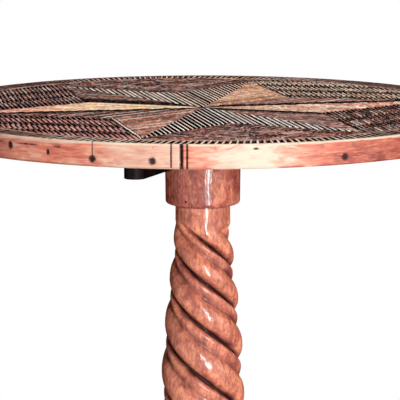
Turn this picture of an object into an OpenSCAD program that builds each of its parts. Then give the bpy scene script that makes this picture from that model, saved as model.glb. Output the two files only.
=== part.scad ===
// Round pedestal side table: a boarded top laid with split sticks in a six pointed star,
// carried by a spiral carved column on three legs.
// The origin is on the floor under the middle of the top. The front of the table is -Y.

/* [Overall] */
// Height of the finished top above the floor
table_h = 720; // [660:1:780]
// Diameter of the top over its edge band
top_d = 600; // [570:1:660]

/* [Top boards] */
// Thickness of the boards
board_t = 18; // [16:0.5:22]
// Length of the tongue on the edge of a board
tongue_l = 7; // [5:0.5:9]
// Thickness of the tongue
tongue_t = 6; // [5:0.5:7]
// Direction in which the boards run, from +X
board_angle = 156.7; // [140:0.1:170]

/* [Edge band] */
// Height of the bent strip round the edge
band_h = 24; // [22:0.5:28]
// Thickness of the strip
band_t = 5; // [4:0.5:7]
// Width of the open joint where the ends of the strip meet
band_joint = 0.8; // [0.4:0.1:2]
// Place of that joint round the edge, from +X
band_joint_angle = 266.1; // [255:0.1:285]
// Diameter of the nail heads on the strip
nail_head_d = 6; // [4:0.5:8]
// Diameter of the nail shanks
nail_d = 2.2; // [1.6:0.1:3]
// Length of the nails under the head
nail_l = 24; // [18:1:30]
// Distance of the nails below the top
nail_drop = 16.5; // [14:0.5:17]
// Place of the first nail, from +X
nail_angle = 260.8; // [258:0.1:263]

/* [Stick mosaic] */
// Thickness of the split sticks
stick_t = 3; // [2:0.5:5]
// Distance from one stick of the star to the next
stick_pitch = 5.4; // [4.5:0.1:8]
// Open line between neighbouring sticks
stick_gap = 0.5; // [0.3:0.1:1]
// Distance of the star's middle in front of the top's middle
star_shift = 10; // [0:1:15]
// Room between the front point of the star and the plain ring
point_margin = 5.5; // [3:0.5:12]
// Distance from the star's middle to its inner corners
star_inner_r = 132; // [115:1:145]
// Turn of the star about its middle
star_turn = 12; // [0:1:30]
// Width of the rows that fill the ground between the points
row_w = 24; // [18:1:30]
// Length of the short sticks of the border
border_l = 23; // [15:1:30]
// Distance from one border stick to the next
border_pitch = 6.5; // [5.5:0.1:10]
// Slant of the border sticks, as an angle round the middle
border_slant = 0.8; // [0:0.1:2]
// Width of the plain ring inside the border
ring_w = 3; // [2:0.5:5]

/* [Bearer] */
// Width of the cross bearer under the top
bearer_w = 22; // [18:1:30]
// Depth of the bearer
bearer_h = 33; // [30:1:36]
// Distance from the middle to the centre of the bearer's round end
bearer_reach = 172; // [150:1:200]
// Direction of the bearer, from +X
bearer_angle = 66.7; // [60:0.1:75]
// Diameter of its screws
screw_d = 4.5; // [3.5:0.1:5]
// Diameter of the screw heads
screw_head_d = 9; // [8:0.5:10]
// Distance of the inner screws from the middle
screw_inner = 85; // [70:1:95]
// Distance of the outer screws from the middle
screw_outer = 158; // [135:1:165]
// Depth that the screws go into the boards
screw_bite = 12; // [8:1:13]

/* [Cap] */
// Diameter of the round cap at its top
cap_d = 82; // [76:1:92]
// Amount by which the cap is smaller at its foot
cap_taper = 2; // [0:0.5:4]
// Height of the solid part of the cap below the bearer
cap_body_h = 51; // [45:0.1:60]
// Radius of the eased lower edge
cap_ease = 3.5; // [2:0.5:5]
// Diameter of the two pegs that lock the bearer in the cap
peg_d = 8; // [6:0.5:10]
// Distance of the pegs from the middle
peg_offset = 19; // [16:1:22]
// Diameter of the nail that locks the column's tenon
lock_nail_d = 2.6; // [2:0.1:3.5]
// Length of that nail
lock_nail_l = 30; // [27:1:34]
// Height of that nail above the foot of the cap
lock_nail_rise = 6.4; // [5:0.1:12]
// Place of that nail round the cap, from +X
lock_nail_angle = 243; // [235:1:255]

/* [Column] */
// Radius of the smooth neck at each end
neck_r = 29.4; // [26:0.1:30]
// Length of the smooth neck
neck_l = 15; // [12:0.1:22]
// Radius over the strands at the belly
belly_r = 45.2; // [40:0.1:48]
// Number of strands
strands = 3; // [2:1:4]
// Angle at which the strands climb, from the horizontal
climb = 31.5; // [28:0.1:45]
// Share of each pitch that the broad strand takes, beside its bead
strand_share = 0.66; // [0.5:0.01:0.75]
// Depth of the groove above each bead
groove = 12; // [7:0.1:12]
// Depth of the groove between a bead and its strand
bead_groove = 6; // [3:0.1:7]
// Depth of the crest of a bead below that of its strand
bead_drop = 3; // [0:0.1:3]
// Length over which the grooves run out at each end
runout = 21; // [20:1:50]
// Turn of the strands at the top of the column
strand_turn = 46; // [0:1:120]
// Diameter of the tenons
tenon_d = 36; // [30:1:40]
// Length of the tenon in the cap
tenon_l = 40; // [30:1:44]

/* [Base] */
// Height of the under side of the base block above the floor
base_z = 76; // [70:1:90]
// Height of the base block
block_h = 113.4; // [105:0.1:125]
// Diameter of the base block
block_d = 104; // [100:1:120]
// Distance that the legs reach from the middle
leg_reach = 284; // [250:1:285]
// Thickness of the legs
leg_t = 30; // [26:1:36]
// Height of the leg where it joins the block
leg_joint_h = 92; // [84:1:98]
// Depth of the leg at its ankle
ankle_h = 34; // [28:1:40]
// Length of the flat under the foot
foot_l = 46; // [36:1:56]
// Depth of the dovetail tongue in the block
dovetail_l = 16; // [12:1:18]
// Width of the tongue at its neck
dovetail_neck = 14; // [12:1:16]
// Width of the tongue at its inner end
dovetail_w = 20; // [18:1:22]
// Thickness of the iron plate under the block
plate_t = 3; // [2:0.5:4]
// Radius of the round middle of the plate
plate_r = 34; // [30:1:40]
// Width of the plate's arms
arm_w = 18; // [14:1:22]
// Distance that the arms reach past the block
arm_past = 26; // [20:1:30]
// Length of the plate's screws under the head
plate_screw_l = 22; // [16:1:28]
// Thickness of the wedge in the foot of the column
wedge_t = 5; // [3:0.5:6]
// Depth of the wedge
wedge_h = 30; // [20:1:40]

/* [Hidden] */
// Room round a turned or driven piece in its hole
glue_gap = 0.1;
// Thickness of the screw and nail heads
screw_head_t = 2.2;
nail_head_t = 1.2;
peg_setback = 0.6;
star_points = 6;
// Degrees by which each point was laid off its even place by hand
hand_turns = [1, 5, -3, 0, 4, -4];
// Edges along which the rows of each ground run: that of its first point, of its next one, or both
row_sides = [[-1], [-1, 1], [1], [-1], [-1, 1], [1]];
board_count = 4;
nail_count = 10;
leg_count = 3;
leg_first_angle = 30;
front_angle = 270;
extra_nail_angle = 249.5;
bore_reach = 1;
ring_count = 80;
strand_points = 10;
bead_points = 7;
// Roundness of the strands and beads, lean of the beads up to the deep groove, fullness of the swelling
strand_round = 2.6;
bead_round = 2.2;
bead_lean = 1.6;
swell_fullness = 0.66;
curve_steps = 14;
// Rounding of the toe
toe_back = 6;
toe_under = 4;

outer_r = top_d / 2;
board_r = outer_r - band_t;
mosaic_z = table_h - stick_t;
board_z = mosaic_z - board_t;
board_w = 2 * board_r / board_count;
border_out_r = board_r - stick_gap;
border_in_r = border_out_r - border_l;
ring_out_r = border_in_r - stick_gap;
ring_in_r = ring_out_r - ring_w;
field_r = ring_in_r - stick_gap;
star_r = field_r - star_shift - point_margin;

bearer_z = board_z - bearer_h;
cap_z = bearer_z - cap_body_h;
cap_foot_r = (cap_d - cap_taper) / 2;
lock_nail_z = cap_z + lock_nail_rise;
peg_z = bearer_z + bearer_h / 2;
block_top_z = base_z + block_h;
column_h = cap_z - block_top_z;
carved_h = column_h - 2 * neck_l;
leg_step = 360 / leg_count;
block_r = block_d / 2;
arm_reach = block_r + arm_past;
plate_screw_r = block_r + arm_past / 2;
foot_heel = leg_reach - foot_l;

$fn = 64;

function polar(r, a) = [r * cos(a), r * sin(a)];
function mix(a, b, t) = a + (b - a) * t;
function smooth(t) = let (c = min(1, max(0, t))) c * c * (3 - 2 * c);

// Places of the nails round the edge band
nail_angles = concat([for (k = [0:nail_count - 1]) nail_angle + k * 360 / nail_count], [extra_nail_angle]);

// The nails of the edge band, made thicker by a clearance when they are used as holes
module band_nail_shanks(room) {
    for (a = nail_angles)
        rotate([0, 0, a])
            translate([outer_r - nail_l, 0, table_h - nail_drop])
                rotate([0, 90, 0])
                    cylinder(h = nail_l + room, d = nail_d + 2 * room);
}

module band_nails() color("dimgray") {
    band_nail_shanks(0);
    for (a = nail_angles)
        rotate([0, 0, a])
            translate([outer_r - nail_head_t, 0, table_h - nail_drop])
                rotate([0, 90, 0])
                    cylinder(h = nail_head_t, d = nail_head_d);
}

// The screws of the bearer stand up through it into the boards
module bearer_screw_places() {
    rotate([0, 0, bearer_angle])
        for (x = [-screw_outer, -screw_inner, screw_inner, screw_outer])
            translate([x, 0, bearer_z])
                children();
}

module bearer_screw(room) {
    cylinder(h = bearer_h + screw_bite + room, d = screw_d + 2 * room);
    cylinder(h = screw_head_t + room, d = screw_head_d + 2 * room);
}

module bearer_screws() color("dimgray")
    bearer_screw_places() bearer_screw(0);

// One board of the top: a strip of the disc, with a groove on one edge and a tongue on the other
module board(index) color("burlywood")
    difference() {
        translate([0, 0, board_z])
            intersection() {
                cylinder(h = board_t, r = board_r);
                rotate([0, 0, board_angle])
                    board_strip(index);
            }
        band_nail_shanks(glue_gap);
        bearer_screw_places() bearer_screw(glue_gap);
    }

module board_strip(index) {
    low_y = -board_r + index * board_w;
    high_y = low_y + board_w;
    last = index == board_count - 1;
    tongue_z = (board_t - tongue_t) / 2;
    difference() {
        union() {
            translate([-board_r, low_y, 0])
                cube([2 * board_r, board_w, board_t]);
            if (!last)
                translate([-board_r, high_y - bore_reach, tongue_z])
                    cube([2 * board_r, tongue_l + bore_reach, tongue_t]);
        }
        if (index > 0)
            translate([-board_r - bore_reach, low_y - bore_reach, tongue_z - glue_gap])
                cube([2 * (board_r + bore_reach), tongue_l + glue_gap + bore_reach, tongue_t + 2 * glue_gap]);
    }
}

// The bent strip round the edge, open at its joint
module edge_band() color("peachpuff")
    difference() {
        translate([0, 0, table_h - band_h])
            cylinder(h = band_h, r = outer_r);
        translate([0, 0, table_h - band_h - bore_reach])
            cylinder(h = band_h + 2 * bore_reach, r = board_r);
        rotate([0, 0, band_joint_angle])
            translate([0, -band_joint / 2, table_h - band_h - bore_reach])
                cube([outer_r + bore_reach, band_joint, band_h + 2 * bore_reach]);
        band_nail_shanks(glue_gap);
        for (a = nail_angles)
            rotate([0, 0, a])
                translate([outer_r - nail_head_t - glue_gap, 0, table_h - nail_drop])
                    rotate([0, 90, 0])
                        cylinder(h = band_t, d = nail_head_d + 2 * glue_gap);
    }

// Directions of the points of the star from its middle, and of the corners between them
function tip_angle(index) =
    let (turn = floor(index / star_points), k = index - turn * star_points)
    star_turn + hand_turns[k] + index * 360 / star_points;
function corner_angle(index) = (tip_angle(index) + tip_angle(index + 1)) / 2;

// A place in one half of a star point: along runs from the middle to the tip, across from the
// ridge of the point to its outer edge
function half_place(tip, corner, along, across) =
    mix(polar(star_r * along, tip),
        mix(polar(star_inner_r, corner), polar(star_r, tip), along),
        across);

// The last stick stops short of the tip, where the sticks would come to nothing
stick_end = 1 - 4 * stick_gap / star_inner_r;
gap_share = stick_gap / stick_pitch / 2;

function stick_outline(tip, corner, count, index) =
    let (start = (index + gap_share) / count * stick_end,
         stop = (index + 1 - gap_share) / count * stick_end,
         start_trim = stick_gap / 2 / (star_inner_r * (1 - start)),
         stop_trim = stick_gap / 2 / (star_inner_r * (1 - stop)))
    [half_place(tip, corner, start, start_trim),
     half_place(tip, corner, start, 1 - start_trim),
     half_place(tip, corner, stop, 1 - stop_trim),
     half_place(tip, corner, stop, stop_trim)];

// Half of a star point: sticks laid side by side, parallel to the inner edge of the half
module star_half(tip, corner) {
    count = floor(star_r * abs(sin(corner - tip)) / stick_pitch);
    translate([0, -star_shift, mosaic_z])
        linear_extrude(stick_t)
            for (i = [0:count - 1])
                polygon(stick_outline(tip, corner, count, i));
}

module star_light(index) color("wheat") star_half(tip_angle(index), corner_angle(index - 1));

module star_dark(index) color("saddlebrown") star_half(tip_angle(index), corner_angle(index));

// Slope of the edges of a ground away from the direction of its corner
function half_angle(index) = (tip_angle(index + 1) - tip_angle(index)) / 2;
function edge_slope(index) =
    atan2(star_r * sin(half_angle(index)), star_r * cos(half_angle(index)) - star_inner_r);
far_r = top_d;

// The ground beside one edge: from its inner corner out past the tip, and to the other edge or,
// where two families of rows meet in a chevron, to the line through the corner
function ground_outline(index, side, chevron) =
    let (corner = corner_angle(index),
         half = half_angle(index),
         slope = edge_slope(index),
         trim = stick_gap / 2 / star_r * 180 / PI,
         tip_reach = star_r + stick_gap / 2 / sin(slope - half),
         open = half - trim)
    concat(
        [polar(star_inner_r + stick_gap / 2 / sin(slope), corner + (chevron ? side * trim : 0)),
         polar(tip_reach, corner + side * open),
         polar(far_r, corner + side * open)],
        chevron ? [polar(far_r, corner + side * trim)]
                : [polar(far_r, corner),
                   polar(far_r, corner - side * open),
                   polar(tip_reach, corner - side * open)]);

// Distance from the middle of the star to the ring, in one direction
function ring_reach(angle) = star_shift * sin(angle) + sqrt(pow(field_r, 2) - pow(star_shift * cos(angle), 2));

// Rows needed to fill a side. The last row takes what is left before the ring.
function row_count(index, side, chevron) =
    let (turn = chevron ? 0 : -half_angle(index),
         reach = ring_reach(corner_angle(index) + side * turn),
         slope = edge_slope(index))
    max(1, round((reach * sin(slope - turn) - star_inner_r * sin(slope)) / row_w));

// A row lies parallel to the edge of the star beside it
function row_outline(index, side, row, last) =
    let (slope = edge_slope(index),
         start = polar(star_inner_r, corner_angle(index)),
         along = polar(far_r, corner_angle(index) + side * slope),
         out = polar(1, corner_angle(index) + side * (slope - 90)),
         near = row * row_w + stick_gap / 2,
         far = last ? far_r : (row + 1) * row_w - stick_gap / 2)
    [start - along + near * out, start + along + near * out,
     start + along + far * out, start - along + far * out];

// The ground between two points of the star, in rows
module ground(index) color("sienna") {
    sides = row_sides[index];
    chevron = len(sides) > 1;
    for (side = sides) {
        rows = row_count(index, side, chevron);
        for (row = [0:rows - 1])
            intersection() {
                translate([0, 0, mosaic_z])
                    cylinder(h = stick_t, r = field_r);
                translate([0, -star_shift, mosaic_z])
                    linear_extrude(stick_t)
                        polygon(ground_outline(index, side, chevron));
                translate([0, -star_shift, mosaic_z])
                    linear_extrude(stick_t)
                        polygon(row_outline(index, side, row, row == rows - 1));
            }
    }
}

module border_ring() color("wheat")
    translate([0, 0, mosaic_z])
        difference() {
            cylinder(h = stick_t, r = ring_out_r);
            translate([0, 0, -bore_reach])
                cylinder(h = stick_t + 2 * bore_reach, r = ring_in_r);
        }

border_count = floor(PI * (border_out_r + border_in_r) / border_pitch);
border_step = 360 / border_count;
border_share = (1 - stick_gap / border_pitch) * border_step;

module border_sticks() color("tan")
    translate([0, 0, mosaic_z])
        linear_extrude(stick_t)
            for (i = [0:border_count - 1])
                polygon([
                    polar(border_in_r, i * border_step + border_slant),
                    polar(border_out_r, i * border_step),
                    polar(border_out_r, i * border_step + border_share),
                    polar(border_in_r, i * border_step + border_share + border_slant)
                ]);

// The pegs cross the bearer inside the cap
module peg_places()
    rotate([0, 0, bearer_angle])
        for (x = [-peg_offset, peg_offset])
            translate([x, 0, peg_z])
                rotate([90, 0, 0])
                    children();

peg_l = 2 * sqrt(pow(cap_foot_r, 2) - pow(peg_offset + peg_d / 2, 2)) - 2 * peg_setback;

module cap_pegs() color("sandybrown")
    peg_places() cylinder(h = peg_l, d = peg_d, center = true);

module peg_bores()
    peg_places() cylinder(h = cap_d + 2 * bore_reach, d = peg_d + 2 * glue_gap, center = true);

module bearer_shape(room)
    rotate([0, 0, bearer_angle])
        union() {
            translate([-bearer_reach, -bearer_w / 2 - room, 0])
                cube([2 * bearer_reach, bearer_w + 2 * room, bearer_h]);
            for (x = [-bearer_reach, bearer_reach])
                translate([x, 0, 0])
                    cylinder(h = bearer_h, d = bearer_w + 2 * room);
        }

module bearer() color("#2b1a17")
    difference() {
        translate([0, 0, bearer_z])
            bearer_shape(0);
        bearer_screw_places() bearer_screw(glue_gap);
        peg_bores();
    }

module lock_nail(room)
    rotate([0, 0, lock_nail_angle])
        translate([cap_foot_r - lock_nail_l - room, 0, lock_nail_z])
            rotate([0, 90, 0])
                cylinder(h = lock_nail_l - peg_setback + room, d = lock_nail_d + 2 * room);

module tenon_nail() color("dimgray") lock_nail(0);

// The cap is turned in one piece with two cheeks that clasp the bearer
module cap() color("sienna")
    difference() {
        rotate_extrude()
            polygon(concat(
                [[0, board_z], [0, cap_z]],
                [for (a = [-90:15:0]) [cap_foot_r - cap_ease, cap_z + cap_ease] + cap_ease * [cos(a), sin(a)]],
                [[cap_d / 2, board_z]]));
        translate([0, 0, bearer_z])
            bearer_shape(glue_gap);
        translate([0, 0, cap_z - bore_reach])
            cylinder(h = tenon_l + glue_gap + bore_reach, d = tenon_d + 2 * glue_gap);
        peg_bores();
        lock_nail_bore();
    }

module lock_nail_bore()
    rotate([0, 0, lock_nail_angle])
        translate([cap_foot_r - lock_nail_l - glue_gap, 0, lock_nail_z])
            rotate([0, 90, 0])
                cylinder(h = lock_nail_l + cap_taper + bore_reach, d = lock_nail_d + 2 * glue_gap);

// Radius over the strands at a share of the carved length, swelling to the belly and back
function swell(share) = let (s = sin(180 * share)) mix(neck_r, belly_r, mix(s * s, s, swell_fullness));

// Depth of the carving at a place in a pitch. The broad strand runs from 0 to strand_share, from the
// deep groove to the shallow one, and the bead runs on from there to the next deep groove.
function carving(place) =
    place < strand_share
        ? let (u = 2 * place / strand_share - 1)
            pow(abs(u), strand_round) * (u < 0 ? groove : bead_groove)
        : let (v = 2 * pow((place - strand_share) / (1 - strand_share), bead_lean) - 1)
            mix(bead_drop, v < 0 ? bead_groove : groove, pow(abs(v), bead_round));

// The grooves run out before each end of the carving
function carved_share(share) = smooth(share * carved_h / runout) * smooth((1 - share) * carved_h / runout);

// Strands that climb at one angle turn faster where the column is thin
ring_step = carved_h / ring_count;
function ring_turns(ring) =
    ring == 0 ? 0 : ring_turns(ring - 1)
        + ring_step / tan(climb) / swell((ring - 0.5) / ring_count) * 180 / PI;
turns = [for (ring = [0:ring_count]) ring_turns(ring)];

// The points of a ring lie at the same places of every pitch, so that they follow the strands down
pitch_points = strand_points + bead_points;
ring_points = strands * pitch_points;
places = concat(
    [for (k = [0:strand_points - 1]) strand_share * k / strand_points],
    [for (k = [0:bead_points - 1]) mix(strand_share, 1, k / bead_points)]);
depths = [for (place = places) carving(place)];
function point_angle(point) =
    (floor(point / pitch_points) + places[point % pitch_points]) * 360 / strands + strand_turn + front_angle;

function carved_point(ring, point) =
    let (share = ring / ring_count,
         angle = point_angle(point) + turns[ring],
         r = swell(share) - carved_share(share) * depths[point % pitch_points])
    [r * cos(angle), r * sin(angle), cap_z - neck_l - share * carved_h];

function neck_point(z, turn, point) =
    let (angle = point_angle(point) + turn)
    [neck_r * cos(angle), neck_r * sin(angle), z];

// The shaft from the cap down to the block: a smooth neck, the carving and the other neck
module shaft() {
    last_ring = ring_count + 2;
    polyhedron(
        points = concat(
            [for (point = [0:ring_points - 1]) neck_point(cap_z, 0, point)],
            [for (ring = [0:ring_count], point = [0:ring_points - 1]) carved_point(ring, point)],
            [for (point = [0:ring_points - 1]) neck_point(block_top_z, turns[ring_count], point)]),
        faces = concat(
            [[for (point = [0:ring_points - 1]) ring_points - 1 - point]],
            [[for (point = [0:ring_points - 1]) last_ring * ring_points + point]],
            [for (ring = [0:last_ring - 1], point = [0:ring_points - 1], half = [0, 1])
                let (next = (point + 1) % ring_points,
                     upper = ring * ring_points,
                     lower = upper + ring_points)
                half == 0 ? [upper + point, upper + next, lower + next]
                          : [upper + point, lower + next, lower + point]]));
}

// The column is one turned and carved piece, with a tenon at each end of its shaft
module column() color("peru")
    difference() {
        union() {
            shaft();
            translate([0, 0, base_z])
                cylinder(h = cap_z + tenon_l - base_z, d = tenon_d);
        }
        lock_nail_bore();
        wedge_shape(glue_gap);
    }

module wedge_shape(room)
    translate([-tenon_d / 2 - bore_reach, -wedge_t / 2 - room, base_z - bore_reach])
        cube([tenon_d + 2 * bore_reach, wedge_t + 2 * room, wedge_h + room + bore_reach]);

// The wedge spreads the foot of the column in the block
module column_wedge() color("burlywood")
    intersection() {
        wedge_shape(0);
        translate([0, 0, base_z])
            cylinder(h = block_h, d = tenon_d);
    }

module leg_places(index)
    rotate([0, 0, leg_first_angle + index * leg_step])
        children();

// The dovetail tongue of a leg, which slides up into the block
module dovetail(room)
    translate([0, 0, base_z - (room > 0 ? bore_reach : 0)])
        linear_extrude(leg_joint_h + room + (room > 0 ? bore_reach : 0))
            polygon([
                [block_r - dovetail_l - room, -dovetail_w / 2 - room],
                [block_r + bore_reach, -dovetail_neck / 2 - room],
                [block_r + bore_reach, dovetail_neck / 2 + room],
                [block_r - dovetail_l - room, dovetail_w / 2 + room]
            ]);

function bezier(a, b, c, d, t) =
    a * pow(1 - t, 3) + 3 * b * t * pow(1 - t, 2) + 3 * c * t * t * (1 - t) + d * pow(t, 3);
function curve(a, b, c, d) = [for (i = [0:curve_steps]) bezier(a, b, c, d, i / curve_steps)];

leg_top_z = base_z + leg_joint_h;
leg_span = leg_reach - block_r;
// The leg seen from its side: over the knee to the toe, under the foot and back to the block
leg_outline = concat(
    curve([block_r - bore_reach, leg_top_z], [block_r + leg_span * 0.36, leg_top_z + ankle_h * 0.5],
          [block_r + leg_span * 0.44, ankle_h * 1.2], [foot_heel + foot_l * 0.3, ankle_h * 0.9]),
    curve([foot_heel + foot_l * 0.45, ankle_h * 0.88], [leg_reach - toe_back, ankle_h * 0.8],
          [leg_reach, ankle_h * 0.5], [leg_reach - toe_under, 0]),
    curve([foot_heel, 0], [foot_heel - foot_l, ankle_h * 0.1],
          [arm_reach + leg_span * 0.27, base_z * 0.98], [arm_reach + bore_reach, base_z]),
    [[block_r - bore_reach, base_z]]);

module leg(index) color("peru")
    leg_places(index)
        difference() {
            union() {
                difference() {
                    translate([0, leg_t / 2, 0])
                        rotate([90, 0, 0])
                            linear_extrude(leg_t)
                                polygon(leg_outline);
                    cylinder(h = table_h, r = block_r + glue_gap);
                }
                dovetail(0);
            }
            translate([plate_screw_r, 0, base_z])
                plate_screw(glue_gap);
        }

module base_block() color("sienna")
    difference() {
        rotate_extrude()
            polygon(concat(
                [[0, base_z], [block_r, base_z]],
                [for (a = [0:15:90]) [block_r - cap_ease, block_top_z - cap_ease] + cap_ease * [cos(a), sin(a)]],
                [[0, block_top_z]]));
        translate([0, 0, base_z - bore_reach])
            cylinder(h = block_h + 2 * bore_reach, d = tenon_d + 2 * glue_gap);
        for (i = [0:leg_count - 1])
            leg_places(i) dovetail(glue_gap);
    }

// A screw of the base plate, with its head under the plate
module plate_screw(room) {
    translate([0, 0, -plate_t])
        cylinder(h = plate_screw_l + room, d = screw_d + 2 * room);
    translate([0, 0, -plate_t - screw_head_t])
        cylinder(h = screw_head_t, d = screw_head_d);
}

module plate_screws() color("dimgray")
    for (i = [0:leg_count - 1])
        leg_places(i)
            translate([plate_screw_r, 0, base_z])
                plate_screw(0);

// The iron plate ties the three legs together under the block
module base_plate() color("#3a3a3c")
    translate([0, 0, base_z - plate_t])
        difference() {
            union() {
                cylinder(h = plate_t, r = plate_r);
                for (i = [0:leg_count - 1])
                    leg_places(i) {
                        translate([0, -arm_w / 2, 0])
                            cube([arm_reach - arm_w / 2, arm_w, plate_t]);
                        translate([arm_reach - arm_w / 2, 0, 0])
                            cylinder(h = plate_t, d = arm_w);
                    }
            }
            for (i = [0:leg_count - 1])
                leg_places(i)
                    translate([plate_screw_r, 0, -bore_reach])
                        cylinder(h = plate_t + 2 * bore_reach, d = screw_d + 2 * glue_gap);
        }

board(0);  // board_1
board(1);  // board_2
board(2);  // board_3
board(3);  // board_4
edge_band();
band_nails();
star_light(0);  // star_light_1
star_light(1);  // star_light_2
star_light(2);  // star_light_3
star_light(3);  // star_light_4
star_light(4);  // star_light_5
star_light(5);  // star_light_6
star_dark(0);  // star_dark_1
star_dark(1);  // star_dark_2
star_dark(2);  // star_dark_3
star_dark(3);  // star_dark_4
star_dark(4);  // star_dark_5
star_dark(5);  // star_dark_6
ground(0);  // ground_1
ground(1);  // ground_2
ground(2);  // ground_3
ground(3);  // ground_4
ground(4);  // ground_5
ground(5);  // ground_6
border_ring();
border_sticks();
bearer();
bearer_screws();
cap();
cap_pegs();
tenon_nail();
column();
column_wedge();
base_block();
leg(0);  // leg_1
leg(1);  // leg_2
leg(2);  // leg_3
base_plate();
plate_screws();
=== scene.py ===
from functools import partialmethod
from math import atan2, ceil, cos, exp, floor, hypot, pi, radians, sin, sqrt, tau

import bmesh
import bpy
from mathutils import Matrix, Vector, noise


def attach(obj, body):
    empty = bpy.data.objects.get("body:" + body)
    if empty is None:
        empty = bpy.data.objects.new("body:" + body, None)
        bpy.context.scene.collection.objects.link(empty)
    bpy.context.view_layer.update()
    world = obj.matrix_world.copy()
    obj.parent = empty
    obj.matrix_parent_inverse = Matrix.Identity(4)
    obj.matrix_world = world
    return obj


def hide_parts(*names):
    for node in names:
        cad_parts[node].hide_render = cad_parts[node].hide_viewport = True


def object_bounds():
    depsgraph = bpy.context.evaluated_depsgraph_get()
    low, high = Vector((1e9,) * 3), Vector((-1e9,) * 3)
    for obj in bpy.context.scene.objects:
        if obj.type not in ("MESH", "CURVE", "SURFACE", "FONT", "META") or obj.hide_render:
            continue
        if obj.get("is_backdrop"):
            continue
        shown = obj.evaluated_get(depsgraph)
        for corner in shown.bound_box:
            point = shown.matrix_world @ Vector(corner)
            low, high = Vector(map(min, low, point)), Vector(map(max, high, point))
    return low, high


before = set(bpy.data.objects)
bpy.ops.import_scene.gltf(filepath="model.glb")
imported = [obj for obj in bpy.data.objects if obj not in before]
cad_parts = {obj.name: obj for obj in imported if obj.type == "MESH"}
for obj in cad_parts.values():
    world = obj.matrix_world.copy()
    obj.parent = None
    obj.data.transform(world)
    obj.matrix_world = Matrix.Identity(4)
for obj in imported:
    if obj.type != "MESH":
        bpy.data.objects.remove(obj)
cad_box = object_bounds()


# The boards of the top: four softwood boards, tongued and grooved, planed and left bare below.
# Their upper side is near-black, painted shade for the lines between the sticks that lie on it.
BOARD_LINE = radians(156.7)
GAP_SHADE_LEVEL = 0.7166
GAP_SHADE_FADE = 0.0002


def paint(colour):
    """A colour of a paint card, 0 to 255, in the linear light that shaders use. A socket stays as it is."""
    if isinstance(colour, bpy.types.NodeSocket):
        return colour
    shares = (c / 255 for c in colour)
    return (*(s / 12.92 if s <= 0.04045 else ((s + 0.055) / 1.055) ** 2.4 for s in shares), 1)


class Measure:
    """A number in a node tree. Sums and products of measures add the nodes that work them out."""

    def __init__(self, nodes, source):
        self.nodes = nodes
        self.source = source

    def work(self, operation, *others):
        return self.nodes.number("ShaderNodeMath", 0, enumerate((self, *others)), operation=operation)

    __add__ = __radd__ = partialmethod(work, "ADD")
    __mul__ = __rmul__ = partialmethod(work, "MULTIPLY")
    __sub__ = partialmethod(work, "SUBTRACT")
    __truediv__ = partialmethod(work, "DIVIDE")
    at_least = partialmethod(work, "MAXIMUM")
    at_most = partialmethod(work, "MINIMUM")
    above = partialmethod(work, "GREATER_THAN")
    below = partialmethod(work, "LESS_THAN")
    power = partialmethod(work, "POWER")
    floored = partialmethod(work, "FLOOR")
    positive = partialmethod(work, "ABSOLUTE")
    cos = partialmethod(work, "COSINE")
    sin = partialmethod(work, "SINE")

    def __rsub__(self, other):
        return -1 * self + other

    def __rtruediv__(self, other):
        return self.power(-1) * other

    def between(self, low, high):
        return self.at_least(low).at_most(high)

    def rise(self, low, high):
        """From 0 at low to 1 at high, with an easy start and end."""
        inputs = {"Value": self, "From Min": low, "From Max": high}
        return self.nodes.number("ShaderNodeMapRange", "Result", inputs, interpolation_type="SMOOTHSTEP")

    def within(self, start, stop):
        """Up to 1 over the first range and down to 0 over the second."""
        return self.rise(*start) * (1 - self.rise(*stop))


class Nodes:
    """A node tree and the nodes that finishes and rules are put together from."""

    def __init__(self, tree):
        self.tree = tree

    def connect(self, value, socket):
        """Links a socket or a measure to an input, or writes a plain value in it."""
        source = getattr(value, "source", value)
        if isinstance(source, bpy.types.NodeSocket):
            self.tree.links.new(source, socket)
        else:
            socket.default_value = source

    def add(self, kind, inputs=(), **settings):
        """One node with its settings, and with its inputs linked or set."""
        node = self.tree.nodes.new(kind)
        for name, value in settings.items():
            setattr(node, name, value)
        for key, value in dict(inputs).items():
            self.connect(value, node.inputs[key])
        return node

    def number(self, kind, output=0, inputs=(), **settings):
        return Measure(self, self.add(kind, inputs, **settings).outputs[output])

    def parts(self, place):
        """X, Y and Z of a place."""
        return [Measure(self, part) for part in self.add("ShaderNodeSeparateXYZ", {0: place}).outputs]

    def length(self, place):
        return self.number("ShaderNodeVectorMath", "Value", {0: place}, operation="LENGTH")

    def blended(self, share, first, second, way="MIX"):
        """Two colours mixed by a share."""
        inputs = {0: share, 6: paint(first), 7: paint(second)}
        return self.add("ShaderNodeMix", inputs, data_type="RGBA", blend_type=way).outputs[2]

    def cloudy(self, place, size, detail=3, warp=0):
        """Soft noise whose patches are about this size, in metres."""
        return self.number("ShaderNodeTexNoise", "Fac",
                           {"Vector": place, "Scale": 1 / size, "Detail": detail, "Distortion": warp})

    def stretched(self, place, scale=(1, 1, 1), turn=(0, 0, 0), shift=(0, 0, 0)):
        """A place turned, moved and stretched for a pattern that runs in one direction."""
        inputs = {"Vector": place, "Scale": scale, "Rotation": turn, "Location": shift}
        return self.add("ShaderNodeMapping", inputs).outputs["Vector"]


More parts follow.
